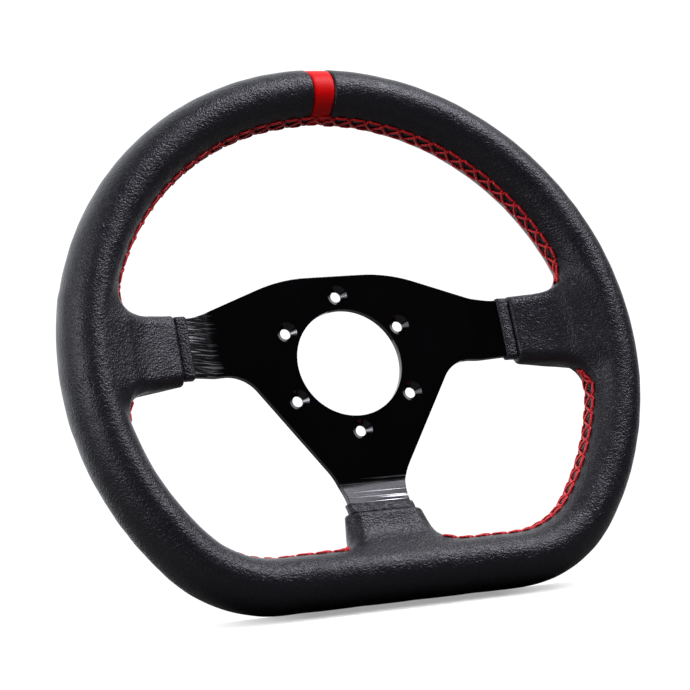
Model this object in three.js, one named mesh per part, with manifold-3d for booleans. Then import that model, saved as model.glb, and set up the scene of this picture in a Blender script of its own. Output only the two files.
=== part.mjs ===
// Bare competition steering wheel: a dished three-spoke plate and a D-shaped padded rim.
//
// Frame: millimetres. X to the driver's right, Z up the wheel, Y away from the driver along the
// steering shaft. The origin is the centre of the bolt circle on the plate's back face, y = 0,
// which is the face that seats on the steering hub.
//
// The rim is built as the real one is: a bent steel hoop with three welded tabs, the spoke plate
// riveted to the tabs, foam moulded over hoop, tabs and spoke roots, and a leather cover laced
// along the inside of the rim, with a leather collar where each spoke enters the cover.

import * as THREE from "three";
import { mergeVertices } from "three/addons/utils/BufferGeometryUtils.js";
import Module from "manifold-3d";

const wasm = await Module();
wasm.setup();

// ---------------------------------------------------------------- driving dimensions, mm

const gap = 0.3; // between neighbouring pieces
const plateThickness = 3.5;

// Hub interface: six countersunk M5 screws on a 70 mm circle round an open centre.
const boltCircleRadius = 35;
const boltCount = 6;
const boltHoleRadius = 2.75;
const countersinkRadius = 5.25;
const centreHoleRadius = 27.6;

// Rim: the centreline is a circle with a flat bottom and two corner arcs, all in one plane.
const rimRadius = 138.2;
const rimCentreZ = -0.9;
const flatZ = -110.8;
const cornerRadius = 57;
const rimPlaneY = -15.6;
const gripHalfWidth = 13.3; // of the rim's oval section, in the wheel's plane
const gripHalfDepth = 17.1; // and along the shaft
const leatherThickness = 1.4;

// Hoop, tabs and rivets inside the rim.
const hoopRadius = 6;
const tabThickness = 2.5;
const tabHalfWidth = 11;
const rivetRadius = 2.4;
const rivetHeadRadius = 3.8;
const rivetHeadHeight = 1;
const rivetHalfSpacing = 6.5;

// Spokes, each in its own lengthwise coordinate u from the wheel's centre.
const sideSpoke = { low: -4, high: 25.5, end: 128, bendStart: 71.5, bendAngle: 25 };
const lowerSpoke = { low: -15.8, high: 15.8, end: 103, bendStart: 62, bendAngle: 20 };
const sideSpokeEndHigh = 22.6; // the side spokes' upper edges taper to this height
const bendRadius = 10;

// Leather boots over the spoke roots, and the collars at their ends.
const sideBoot = {
  start: 90.3, low: -8, high: 27.1, front: -13,
  rootLow: -13.2, rootHigh: 25.6, rootFront: -17, fillet: 7,
};
const lowerBoot = {
  start: 78.4, low: -18.8, high: 18.8, front: -14.5,
  rootLow: -22, rootHigh: 22, rootFront: -22, fillet: 11,
};
const bootBack = -2;
const bootRootBack = 0.2;
const bootCorner = 4;
const sideCollarLength = 6.6;
const lowerCollarLength = 5;
const collarThickness = 0.9;

// Red marker let into the cover near the top, and the lacing along the inside of the rim.
const markerOffset = 2; // the marker sits this far to the driver's right of the centre
const markerWidth = 11.4;
const markerInset = 0.4;
const lacingWidth = 9;
const lacingThickness = 0.8;
const lacingStandoff = 0.8; // clears the flats of the cover's divided surface
const lacingUpperEnd = 174; // along the centreline, from the top of the wheel
const lacingLowerStart = 243;
const lacingLowerEnd = 390;

// How finely round shapes are divided.
const gripSides = 12;
const hoopSides = 8;
const arcStep = THREE.MathUtils.degToRad(9);

// ---------------------------------------------------------------- derived dimensions

const spokeFrontY = rimPlaneY + hoopRadius + gap; // outer spoke, just behind the hoop
const spokeRise = -plateThickness - spokeFrontY; // how far each spoke steps towards the driver
const tabFrontY = spokeFrontY - gap - tabThickness;

// The corner arcs meet the flat at these centres and the big arc at this angle from the top.
const cornerCentreZ = flatZ + cornerRadius;
const cornerCentreX = Math.sqrt((rimRadius - cornerRadius) ** 2 - (cornerCentreZ - rimCentreZ) ** 2);
const cornerAngle = Math.atan2(cornerCentreX, cornerCentreZ - rimCentreZ);
const arcLength = rimRadius * cornerAngle;
const cornerLength = cornerRadius * (Math.PI - cornerAngle);

// ---------------------------------------------------------------- solids

// Turn a closed geometry into a solid that booleans can use, whichever way its faces wind.
function toSolid(geometry) {
  const bare = geometry.clone();
  bare.deleteAttribute("normal");
  bare.deleteAttribute("uv");
  const merged = mergeVertices(bare, 1e-4);
  const positions = new Float32Array(merged.attributes.position.array);
  const triangles = new Uint32Array(merged.index.array);
  if (signedVolume(positions, triangles) < 0) triangles.reverse();
  const mesh = new wasm.Mesh({ numProp: 3, vertProperties: positions, triVerts: triangles });
  return new wasm.Manifold(mesh);
}

function signedVolume(positions, triangles) {
  const corners = [new THREE.Vector3(), new THREE.Vector3(), new THREE.Vector3()];
  let volume = 0;
  for (let t = 0; t < triangles.length; t += 3) {
    corners.forEach((corner, k) => corner.fromArray(positions, 3 * triangles[t + k]));
    volume += corners[0].dot(corners[1].clone().cross(corners[2])) / 6;
  }
  return volume;
}

function toGeometry(solid) {
  const mesh = solid.getMesh();
  const geometry = new THREE.BufferGeometry();
  geometry.setAttribute("position", new THREE.BufferAttribute(mesh.vertProperties, 3));
  geometry.setIndex(new THREE.BufferAttribute(mesh.triVerts, 1));
  geometry.computeVertexNormals();
  return geometry;
}

// A box between two opposite corners.
function boxSolid(low, high) {
  const size = new THREE.Vector3().subVectors(high, low);
  const centre = new THREE.Vector3().addVectors(low, high).multiplyScalar(0.5);
  const geometry = new THREE.BoxGeometry(size.x, size.y, size.z);
  return toSolid(geometry.translate(centre.x, centre.y, centre.z));
}

// A skin of quads over rows of points, each row a closed loop, with the rows joined end to end
// when closed and capped flat when not.
function skinGeometry(rows, closed) {
  const sides = rows[0].length;
  const positions = rows.flat().flatMap((point) => [point.x, point.y, point.z]);
  const triangles = [];
  const lastRow = closed ? rows.length : rows.length - 1;
  for (let r = 0; r < lastRow; r += 1) {
    const here = r * sides;
    const next = ((r + 1) % rows.length) * sides;
    for (let s = 0; s < sides; s += 1) {
      const t = (s + 1) % sides;
      triangles.push(here + s, next + s, next + t, here + s, next + t, here + t);
    }
  }
  if (!closed) {
    const end = (rows.length - 1) * sides;
    for (let s = 1; s < sides - 1; s += 1) {
      triangles.push(0, s, s + 1, end, end + s + 1, end + s);
    }
  }
  const geometry = new THREE.BufferGeometry();
  geometry.setAttribute("position", new THREE.Float32BufferAttribute(positions, 3));
  geometry.setIndex(triangles);
  return geometry;
}

// A polygon whose corners are rounded by arcs: each corner is [x, y, radius].
function roundedOutline(corners) {
  const shape = new THREE.Shape();
  corners.forEach(([x, y, radius], k) => {
    const corner = new THREE.Vector2(x, y);
    const before = new THREE.Vector2(...corners.at(k - 1).slice(0, 2)).sub(corner).normalize();
    const after = new THREE.Vector2(...corners[(k + 1) % corners.length].slice(0, 2))
      .sub(corner).normalize();
    const halfAngle = Math.acos(THREE.MathUtils.clamp(before.dot(after), -1, 1)) / 2;
    const reach = radius / Math.tan(halfAngle);
    const start = corner.clone().addScaledVector(before, reach);
    const end = corner.clone().addScaledVector(after, reach);
    if (k === 0) shape.moveTo(start.x, start.y);
    else shape.lineTo(start.x, start.y);
    if (radius === 0) return;
    const inward = before.clone().add(after).normalize();
    const centre = corner.clone().addScaledVector(inward, radius / Math.sin(halfAngle));
    const from = start.sub(centre).angle();
    const to = end.sub(centre).angle();
    shape.absarc(centre.x, centre.y, radius, from, to, before.cross(after) > 0);
  });
  return shape;
}

function mirrored(corners) {
  return corners.map(([x, y, radius]) => [-x, y, radius]).reverse();
}

// ---------------------------------------------------------------- the rim's path and sections

// A place on the centreline, at a distance along it from the top, positive to the driver's right:
// where it is, and the direction in the wheel's plane that points out of the wheel.
function rimStation(distance) {
  const side = distance < 0 ? -1 : 1;
  const along = Math.abs(distance);
  let angle = along / rimRadius;
  let x = rimRadius * Math.sin(angle);
  let z = rimCentreZ + rimRadius * Math.cos(angle);
  if (along > arcLength) {
    angle = Math.min(cornerAngle + (along - arcLength) / cornerRadius, Math.PI);
    const alongFlat = Math.max(along - arcLength - cornerLength, 0);
    x = cornerCentreX + cornerRadius * Math.sin(angle) - alongFlat;
    z = cornerCentreZ + cornerRadius * Math.cos(angle);
  }
  return { x: side * x, z, outX: side * Math.sin(angle), outZ: Math.cos(angle) };
}

// Evenly divided stations from one distance to another, none longer than the arc step allows.
function stationsBetween(from, to, radius) {
  const count = Math.max(1, Math.ceil((to - from) / (radius * arcStep)));
  const distances = Array.from({ length: count }, (_, k) => from + ((to - from) * k) / count);
  return distances.map(rimStation);
}

function rimLoop() {
  const flatStart = arcLength + cornerLength;
  const bottom = flatStart + cornerCentreX;
  return [
    ...stationsBetween(-arcLength, 0, rimRadius),
    ...stationsBetween(0, arcLength, rimRadius),
    ...stationsBetween(arcLength, flatStart, cornerRadius),
    ...stationsBetween(flatStart, bottom, rimRadius),
    ...stationsBetween(-bottom, -flatStart, rimRadius),
    ...stationsBetween(-flatStart, -arcLength, cornerRadius),
  ];
}

// The points of a section, given as [outward, along Y] pairs, at one station.
function sectionAt(station, section) {
  return section.map(([out, y]) => new THREE.Vector3(
    station.x + out * station.outX,
    rimPlaneY + y,
    station.z + out * station.outZ,
  ));
}

function ovalSection(halfWidth, halfDepth, sides) {
  return Array.from({ length: sides }, (_, k) => {
    const angle = (2 * Math.PI * k) / sides;
    return [halfWidth * Math.cos(angle), -halfDepth * Math.sin(angle)];
  });
}

function rimSweep(section) {
  return toSolid(skinGeometry(rimLoop().map((station) => sectionAt(station, section)), true));
}

function hoopSolid(clearance) {
  return rimSweep(ovalSection(hoopRadius + clearance, hoopRadius + clearance, hoopSides));
}

// ---------------------------------------------------------------- spoke directions

// Each spoke's lengthwise u and crosswise v in the wheel's plane, as a place in the frame.
const spokes = {
  left: {
    shape: sideSpoke,
    boot: sideBoot,
    collarLength: sideCollarLength,
    place: (u, y, v) => new THREE.Vector3(-u, y, v),
  },
  right: {
    shape: sideSpoke,
    boot: sideBoot,
    collarLength: sideCollarLength,
    place: (u, y, v) => new THREE.Vector3(u, y, v),
  },
  lower: {
    shape: lowerSpoke,
    boot: lowerBoot,
    collarLength: lowerCollarLength,
    place: (u, y, v) => new THREE.Vector3(v, y, -u),
  },
};

function spokeBox(spoke, low, high) {
  const a = spoke.place(...low);
  const b = spoke.place(...high);
  return boxSolid(a.clone().min(b), a.clone().max(b));
}

// Half of a spoke's side view as [u, y, radius] corners, front face and back face, for the sheet
// grown by a clearance on both faces.
function jogCorners({ bendStart, bendAngle, end }, clearance) {
  const angle = THREE.MathUtils.degToRad(bendAngle);
  const bendEnd = bendStart + spokeRise / Math.tan(angle);
  const shift = (plateThickness / 2 + clearance) * Math.tan(angle / 2);
  const inner = bendRadius - clearance;
  const outer = bendRadius + plateThickness + clearance;
  const farFront = spokeFrontY - clearance;
  const farBack = spokeFrontY + plateThickness + clearance;
  const front = [
    [bendStart - shift, -plateThickness - clearance, inner],
    [bendEnd - shift, farFront, outer],
    [end + clearance, farFront, 0],
  ];
  const back = [
    [end + clearance, farBack, 0],
    [bendEnd + shift, farBack, inner],
    [bendStart + shift, clearance, outer],
  ];
  return { front, back };
}

function extruded(shape, depth, curveSegments) {
  return new THREE.ExtrudeGeometry(shape, { depth, bevelEnabled: false, curveSegments });
}

// Move a geometry made in a spoke's own (u, y, v) to that spoke's place.
function placed(geometry, spoke) {
  const positions = geometry.attributes.position;
  for (let k = 0; k < positions.count; k += 1) {
    const point = spoke.place(positions.getX(k), positions.getY(k), positions.getZ(k));
    positions.setXYZ(k, point.x, point.y, point.z);
  }
  return geometry;
}

// The bent outer part of a spoke between two distances, grown by a clearance: what the collar,
// cover and foam leave room for.
function spokeSleeve(spoke, clearance, from, to) {
  const { low, high } = spoke.shape;
  const { front, back } = jogCorners(spoke.shape, clearance);
  const centre = [[0, clearance, 0], [0, -plateThickness - clearance, 0]];
  const view = roundedOutline([...front, ...back, ...centre]);
  const sleeve = extruded(view, high - low + 2 * clearance, 3).translate(0, 0, low - clearance);
  const reach = spokeBox(spoke, [from, -60, -60], [to, 30, 60]);
  return toSolid(placed(sleeve, spoke)).intersect(reach);
}

// ---------------------------------------------------------------- spoke plate

// The flat blank: flat top, sloping shoulders, side spokes, and a lower spoke that narrows.
function plateOutline() {
  const rightHalf = [
    [28.9, 45, 80],
    [77.4, 26, 45],
    [sideSpoke.end, sideSpokeEndHigh, 4],
    [sideSpoke.end, sideSpoke.low, 4],
    [84, sideSpoke.low, 60],
    [56, -2.3, 18],
    [lowerSpoke.high, -62.4, 34],
    [lowerSpoke.high, -lowerSpoke.end, 4],
  ];
  return roundedOutline([...rightHalf, ...mirrored(rightHalf)]);
}

// The sheet that the blank is pressed to: both side spokes step towards the driver, and so
// does the lower one.
function pressedSheet() {
  const side = jogCorners(sideSpoke, 0);
  const sideView = roundedOutline([...side.front, ...side.back, ...mirrored(side.back),
    ...mirrored(side.front)]);
  const sideSheet = extruded(sideView, 94, 3).translate(0, 0, -34);
  const lower = jogCorners(lowerSpoke, 0);
  const lowerView = roundedOutline([...lower.front, ...lower.back, [-30, 0, 0],
    [-30, -plateThickness, 0]]);
  const lowerSheet = extruded(lowerView, 80, 3).rotateY(Math.PI / 2).translate(-40, 0, 0);
  return toSolid(sideSheet).add(toSolid(lowerSheet));
}

// A countersunk screw hole, as the solid that is cut away, pointing along Y.
function countersunkCutter() {
  const depth = countersinkRadius - boltHoleRadius;
  const front = -plateThickness;
  const profile = [
    [0, front - 1],
    [countersinkRadius + 1, front - 1],
    [boltHoleRadius, front + depth],
    [boltHoleRadius, 1],
    [0, 1],
  ].map(([radius, y]) => new THREE.Vector2(radius, y));
  return new THREE.LatheGeometry(profile, 20);
}

function spokePlate() {
  const blank = extruded(plateOutline(), 30, 5).rotateX(Math.PI / 2).translate(0, 5, 0);
  const centreHole = new THREE.CylinderGeometry(centreHoleRadius, centreHoleRadius, 30, 44);
  let plate = toSolid(blank).intersect(pressedSheet()).subtract(toSolid(centreHole));
  for (let k = 0; k < boltCount; k += 1) {
    const angle = (2 * Math.PI * k) / boltCount;
    const hole = countersunkCutter();
    hole.translate(boltCircleRadius * Math.sin(angle), 0, boltCircleRadius * Math.cos(angle));
    plate = plate.subtract(toSolid(hole));
  }
  for (const spoke of Object.values(spokes)) {
    plate = plate.subtract(rivetHoles(spoke));
  }
  return plate;
}

// ---------------------------------------------------------------- tabs and rivets

// A tab reaches from over the spoke's end to the hoop, where it is welded.
function tabStart(spoke) {
  return spoke.shape.end - 16;
}

function rivetPlaces(spoke) {
  const middle = (spoke.shape.low + spoke.shape.high) / 2;
  const u = spoke.shape.end - 10;
  return [-rivetHalfSpacing, rivetHalfSpacing].map((v) => spoke.place(u, 0, middle + v));
}

function rivetHoles(spoke) {
  const holes = rivetPlaces(spoke).map((place) => {
    const radius = rivetRadius + gap;
    const hole = new THREE.CylinderGeometry(radius, radius, 40, 12);
    return toSolid(hole.translate(place.x, -10, place.z));
  });
  return holes[0].add(holes[1]);
}

function tabBox(spoke, clearance) {
  const middle = (spoke.shape.low + spoke.shape.high) / 2;
  const halfWidth = tabHalfWidth + clearance;
  const reach = spoke.shape.end + 5;
  return spokeBox(spoke,
    [tabStart(spoke) - clearance, tabFrontY - clearance, middle - halfWidth],
    [reach, tabFrontY + tabThickness + clearance, middle + halfWidth]);
}

function hoopTab(spoke, hoopRoom) {
  return tabBox(spoke, 0).subtract(hoopRoom).subtract(rivetHoles(spoke));
}

// A solid rivet, with a low head on each side, through spoke and tab.
function rivetGeometry(place, clearance) {
  const frontFace = tabFrontY - gap;
  const backFace = spokeFrontY + plateThickness + gap;
  const head = rivetHeadRadius + clearance;
  const shank = rivetRadius + clearance;
  const profile = [
    [0, frontFace - rivetHeadHeight - clearance],
    [head * 0.65, frontFace - rivetHeadHeight - clearance],
    [head, frontFace - clearance],
    [head, frontFace + clearance],
    [shank, frontFace + clearance],
    [shank, backFace - clearance],
    [head, backFace - clearance],
    [head, backFace + clearance],
    [head * 0.65, backFace + rivetHeadHeight + clearance],
    [0, backFace + rivetHeadHeight + clearance],
  ];
  const solidProfile = profile.filter(([radius], k) => clearance > 0 || (k !== 3 && k !== 7));
  const points = solidProfile.map(([radius, y]) => new THREE.Vector2(radius, y));
  return new THREE.LatheGeometry(points, 10).translate(place.x, 0, place.z);
}

// ---------------------------------------------------------------- foam and cover

// A rounded rectangle across a spoke, as points in order round it.
function bootSection(spoke, u, { low, high, front, back, corner }) {
  const centres = [
    [high - corner, back - corner, 0],
    [high - corner, front + corner, -1],
    [low + corner, front + corner, -2],
    [low + corner, back - corner, -3],
  ];
  return centres.flatMap(([v, y, quarter]) => [0, 0.5, 1].map((part) => {
    const angle = ((quarter + 1 - part) * Math.PI) / 2;
    return spoke.place(u, y + corner * Math.sin(angle), v + corner * Math.cos(angle));
  }));
}

// How far a fillet of this radius has spread at a distance before the wall that it runs into.
function filletSpread(radius, distance) {
  const inside = THREE.MathUtils.clamp(radius - distance, 0, radius);
  return radius - Math.sqrt(radius ** 2 - inside ** 2);
}

// The padded spoke root, flaring into the rim, shrunk by an offset for each layer below the skin.
function bootSolid(spoke, offset) {
  const { boot } = spoke;
  const rimInside = spoke === spokes.lower
    ? -flatZ - gripHalfWidth
    : rimRadius - gripHalfWidth;
  const root = rimInside + 5;
  const stops = [0, 0.35, 0.65, 0.82, 0.92, 1];
  const rows = stops.map((stop) => {
    const u = THREE.MathUtils.lerp(boot.start + offset, root, stop);
    const progress = (u - boot.start) / (root - boot.start);
    const between = (first, last) => THREE.MathUtils.lerp(first, last, progress);
    const spread = filletSpread(boot.fillet, root - u);
    return bootSection(spoke, u, {
      low: between(boot.low, boot.rootLow) - spread + offset,
      high: between(boot.high, boot.rootHigh) + spread - offset,
      front: between(boot.front, boot.rootFront) + offset,
      back: between(bootBack, bootRootBack) - offset,
      corner: bootCorner - offset,
    });
  });
  return toSolid(skinGeometry(rows, false));
}

// The outside of one layer of the grip: the oval rim with the three spoke roots.
function gripLayer(offset) {
  const section = ovalSection(gripHalfWidth - offset, gripHalfDepth - offset, gripSides);
  return Object.values(spokes).reduce(
    (layer, spoke) => layer.add(bootSolid(spoke, offset)),
    rimSweep(section),
  );
}

function markerRoom(clearance) {
  const left = markerOffset - markerWidth / 2 - clearance;
  const right = markerOffset + markerWidth / 2 + clearance;
  return boxSolid(new THREE.Vector3(left, -60, 100), new THREE.Vector3(right, 30, 180));
}

function leatherCover() {
  let cover = gripLayer(0).subtract(gripLayer(leatherThickness));
  cover = cover.subtract(markerRoom(gap));
  for (const spoke of Object.values(spokes)) {
    cover = cover.subtract(spokeSleeve(spoke, gap, spoke.boot.start - 5, spoke.boot.start + 5));
  }
  return cover;
}

function centreMarker() {
  const [outer, inner] = [markerInset, leatherThickness].map(
    (offset) => rimSweep(ovalSection(gripHalfWidth - offset, gripHalfDepth - offset, gripSides)),
  );
  return outer.subtract(inner).intersect(markerRoom(0));
}

function foamGrip(hoopRoom) {
  let foam = gripLayer(leatherThickness + gap).subtract(hoopRoom);
  for (const spoke of Object.values(spokes)) {
    foam = foam.subtract(spokeSleeve(spoke, gap, spoke.boot.start - 5, spoke.shape.end + 5));
    foam = foam.subtract(tabBox(spoke, gap));
    for (const place of rivetPlaces(spoke)) {
      foam = foam.subtract(toSolid(rivetGeometry(place, gap)));
    }
  }
  return foam;
}

// A leather strip round the spoke, butted against the end of the boot.
function collar(spoke) {
  const end = spoke.boot.start - gap;
  const start = end - spoke.collarLength;
  const outside = spokeSleeve(spoke, gap + collarThickness, start, end);
  return outside.subtract(spokeSleeve(spoke, gap, start - 5, end + 5));
}

// The lacing, as the flat strip that it covers on the inside of the rim.
function lacingStrip(from, to) {
  const inner = -(gripHalfWidth + lacingStandoff);
  const section = [
    [inner, -lacingWidth / 2],
    [inner, lacingWidth / 2],
    [inner - lacingThickness, lacingWidth / 2],
    [inner - lacingThickness, -lacingWidth / 2],
  ];
  const stations = [...stationsBetween(from, to, cornerRadius), rimStation(to)];
  return skinGeometry(stations.map((station) => sectionAt(station, section)), false);
}

// ---------------------------------------------------------------- materials and assembly

const anodised = { color: 0x0b0b0d, roughness: 0.28, metalness: 0.6 };
const steel = { color: 0x8d9196, roughness: 0.45, metalness: 0.9 };
const rivetAlloy = { color: 0xb9bcc0, roughness: 0.4, metalness: 0.9 };
const foamRubber = { color: 0x1d1d1e, roughness: 0.95, metalness: 0 };
const blackLeather = { color: 0x2b2b2e, roughness: 0.6, metalness: 0 };
const redLeather = { color: 0xc40d12, roughness: 0.55, metalness: 0 };
const redThread = { color: 0xc21820, roughness: 0.7, metalness: 0 };

const wheel = new THREE.Group();

function addPiece(name, geometry, look) {
  const mesh = new THREE.Mesh(geometry, new THREE.MeshStandardMaterial(look));
  mesh.name = name;
  wheel.add(mesh);
}

const hoopRoom = hoopSolid(gap);

addPiece("spoke_plate", toGeometry(spokePlate()), anodised);
addPiece("rim_hoop", toGeometry(hoopSolid(0)), steel);
addPiece("foam_grip", toGeometry(foamGrip(hoopRoom)), foamRubber);
addPiece("leather_cover", toGeometry(leatherCover()), blackLeather);
addPiece("centre_marker", toGeometry(centreMarker()), redLeather);

for (const [side, spoke] of Object.entries(spokes)) {
  addPiece(`hoop_tab_${side}`, toGeometry(hoopTab(spoke, hoopRoom)), steel);
  addPiece(`collar_${side}`, toGeometry(collar(spoke)), blackLeather);
  rivetPlaces(spoke).forEach((place, k) => {
    addPiece(`rivet_${side}_${k + 1}`, toGeometry(toSolid(rivetGeometry(place, 0))), rivetAlloy);
  });
}

addPiece("stitching_upper", lacingStrip(-lacingUpperEnd, lacingUpperEnd), redThread);
addPiece("stitching_lower_right", lacingStrip(lacingLowerStart, lacingLowerEnd), redThread);
addPiece("stitching_lower_left", lacingStrip(-lacingLowerEnd, -lacingLowerStart), redThread);

export default wheel;
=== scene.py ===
import math

import bmesh
import bpy
import numpy as np
from mathutils import Matrix, Vector


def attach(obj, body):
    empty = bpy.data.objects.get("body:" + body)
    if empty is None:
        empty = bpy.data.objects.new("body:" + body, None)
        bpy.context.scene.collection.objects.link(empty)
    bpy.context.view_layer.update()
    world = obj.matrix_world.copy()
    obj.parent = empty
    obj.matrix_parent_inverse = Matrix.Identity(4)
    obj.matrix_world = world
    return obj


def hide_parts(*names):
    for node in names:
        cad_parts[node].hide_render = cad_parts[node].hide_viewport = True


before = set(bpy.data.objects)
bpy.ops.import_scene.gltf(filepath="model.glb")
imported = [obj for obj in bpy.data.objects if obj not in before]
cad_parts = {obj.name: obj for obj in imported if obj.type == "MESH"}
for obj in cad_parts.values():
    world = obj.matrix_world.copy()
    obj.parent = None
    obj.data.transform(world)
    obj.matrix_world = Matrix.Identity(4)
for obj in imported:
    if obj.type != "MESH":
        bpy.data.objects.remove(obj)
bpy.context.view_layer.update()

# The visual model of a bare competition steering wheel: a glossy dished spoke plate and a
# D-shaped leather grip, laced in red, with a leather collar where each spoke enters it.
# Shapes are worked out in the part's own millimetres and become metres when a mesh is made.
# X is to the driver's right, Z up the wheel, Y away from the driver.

MM = 0.001

# ---------------------------------------------------------------- the part's own dimensions, mm

GAP = 0.3  # between pieces that would touch
PLATE_THICKNESS = 3.5
BOLT_CIRCLE_RADIUS = 35
BOLT_COUNT = 6
BOLT_HOLE_RADIUS = 2.75
COUNTERSINK_RADIUS = 5.25
CENTRE_HOLE_RADIUS = 27.6
RIVET_HOLE_RADIUS = 2.7
RIVET_HALF_SPACING = 6.5
RIVET_FROM_END = 10

RIM_RADIUS = 138.2
RIM_CENTRE_Z = -0.9
FLAT_Z = -110.8
CORNER_RADIUS = 57
RIM_PLANE_Y = -15.6
GRIP_HALF_WIDTH = 13.3
GRIP_HALF_DEPTH = 17.1
LEATHER_THICKNESS = 1.4
SPOKE_FRONT_Y = -9.3
BEND_RADIUS = 10
TIP_CORNER_RADIUS = 4
PLATE_EDGE_ROUNDING = 0.3

MARKER_OFFSET = 2
MARKER_WIDTH = 11.4
MARKER_INSET = 0.4
MARKER_ROOM_BEVEL = 0.9
MARKER_ROOM_TURN_IN = 0.45
ABOVE_SPOKES_Z = 100  # only the rim's top reaches higher, where the marker lies
COLLAR_THICKNESS = 1.2
COLLAR_CORNER_RADIUS = 1.2
SPOKE_LEAN = 0.7  # the left spoke sits this much higher than it should, the right one lower

SIDE_SPOKE = {
    "low": -4, "high": 25.5, "end": 128, "bend_start": 71.5, "bend_angle": 25, "tip": 22.6,
    "collar_start": 83.4, "collar_end": 89.4,
}
LOWER_SPOKE = {
    "low": -15.8, "high": 15.8, "end": 103, "bend_start": 62, "bend_angle": 20,
    "collar_start": 73.1, "collar_end": 78.1,
}
SIDE_BOOT = {
    "start": 89.6, "root": 129.9, "low": -8, "high": 27.9, "front": -12.6, "corner": 5.5,
    "root_low": -13.2, "root_high": 26, "root_front": -26, "fillets": (14, 14),
    "swell": 1.2, "front_fillet": 1.3,
}
LOWER_BOOT = {
    "start": 78.2, "root": 102.5, "low": -20.2, "high": 20.3, "front": -14.2, "corner": 7.5,
    "root_low": -22, "root_high": 26, "root_front": -22, "fillets": (10, 12),
    "swell": 1.4, "front_fillet": 1,
}
BOOT_BACK = -2
BOOT_ROOT_BACK = 0.2
BOOT_END_ROUNDING = 1.8
BOOT_PAST_ROOT = 3  # how far inside the rim each boot still runs
SEAM_DEPTH = 0.25
SEAM_HALF_WIDTH = 5  # degrees round the section
UNEVENNESS = 0.14
FILLET_DEPTHS = (-30, -23, -10, -4)  # the Y places between which the boots' fillets change width
FILLET_AT_FRONT = 0.5
FILLET_AT_BACK = 0.35

# Corner arcs and lengths that follow from the driving dimensions.
CORNER_CENTRE_Z = FLAT_Z + CORNER_RADIUS
CORNER_CENTRE_X = math.sqrt(
    (RIM_RADIUS - CORNER_RADIUS) ** 2 - (CORNER_CENTRE_Z - RIM_CENTRE_Z) ** 2
)
CORNER_ANGLE = math.atan2(CORNER_CENTRE_X, CORNER_CENTRE_Z - RIM_CENTRE_Z)
ARC_LENGTH = RIM_RADIUS * CORNER_ANGLE
CORNER_LENGTH = CORNER_RADIUS * (math.pi - CORNER_ANGLE)
SPOKE_RISE = -PLATE_THICKNESS - SPOKE_FRONT_Y

# ---------------------------------------------------------------- the lacing, mm

THREAD_RADIUS = 0.76
LACING_PITCH = 10  # along the centreline of the big arc
LOWER_LACING_PITCH = 9
LACING_FRONT_ANGLE = 164.5  # round the section, degrees: 90 faces the driver, 180 the hub
LACING_BACK_ANGLE = 192.5
SEAM_ANGLE = 181
UPPER_LACING_END = 182
UPPER_LACING_ORIGIN = -180
LOWER_LACING_START = 234
LOWER_LACING_END = 399
LOWER_LEFT_DRIFT = 12  # degrees
THREAD_DIVE = 1.1  # how deep its ends go into the holes
THREAD_FLATTENING = 0.8

# ---------------------------------------------------------------- how finely shapes are divided

COVER_CELL = 1.3
LINING_CELL = 2.8
THREAD_SIDES = 6
STRAND_POINTS = 11
SECTION_SIDES = 96
HOLE_SIDES = 72
BEND_STRIPS = 14
BEND_STRIP_MARGIN = 4
COLLAR_POINT_SPACING = 1.2


# ---------------------------------------------------------------- making objects


def add_object(name, mesh):
    obj = bpy.data.objects.new(name, mesh)
    bpy.context.scene.collection.objects.link(obj)
    return obj


def mesh_object(name, points, faces):
    """A smooth mesh from points in millimetres."""
    mesh = bpy.data.meshes.new(name)
    mesh.from_pydata((np.asarray(points) * MM).tolist(), [], faces)
    mesh.polygons.foreach_set("use_smooth", [True] * len(mesh.polygons))
    return add_object(name, mesh)


def loft(rows, closed_rows=True):
    """Quads over a grid of points (rows, sides, 3), each row closed, and the rows too if asked."""
    count, sides = len(rows), len(rows[0])
    faces = []
    for row in range(count if closed_rows else count - 1):
        here, after = row * sides, ((row + 1) % count) * sides
        for side in range(sides):
            turn = (side + 1) % sides
            faces.append((here + side, after + side, after + turn, here + turn))
    return np.reshape(rows, (-1, 3)), faces


def face_outwards(obj):
    """Turns every closed part of a mesh so that its faces look outwards."""
    mesh = bmesh.new()
    mesh.from_mesh(obj.data)
    bmesh.ops.recalc_face_normals(mesh, faces=mesh.faces)
    mesh.to_mesh(obj.data)
    mesh.free()


# ---------------------------------------------------------------- the rim's path


def rim_station(along):
    """Centreline place (x, z) and outward direction for distances from the top of the wheel."""
    along = np.asarray(along, dtype=float)
    side, run = np.where(along < 0, -1, 1), np.abs(along)
    on_corner = run > ARC_LENGTH
    corner_angle = np.minimum(CORNER_ANGLE + (run - ARC_LENGTH) / CORNER_RADIUS, math.pi)
    angle = np.where(on_corner, corner_angle, run / RIM_RADIUS)
    on_flat = np.maximum(run - ARC_LENGTH - CORNER_LENGTH, 0)
    radius = np.where(on_corner, CORNER_RADIUS, RIM_RADIUS)
    x = np.where(on_corner, CORNER_CENTRE_X, 0) + radius * np.sin(angle) - on_flat
    z = np.where(on_corner, CORNER_CENTRE_Z, RIM_CENTRE_Z) + radius * np.cos(angle)
    return side * x, z, side * np.sin(angle), np.cos(angle)


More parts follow.
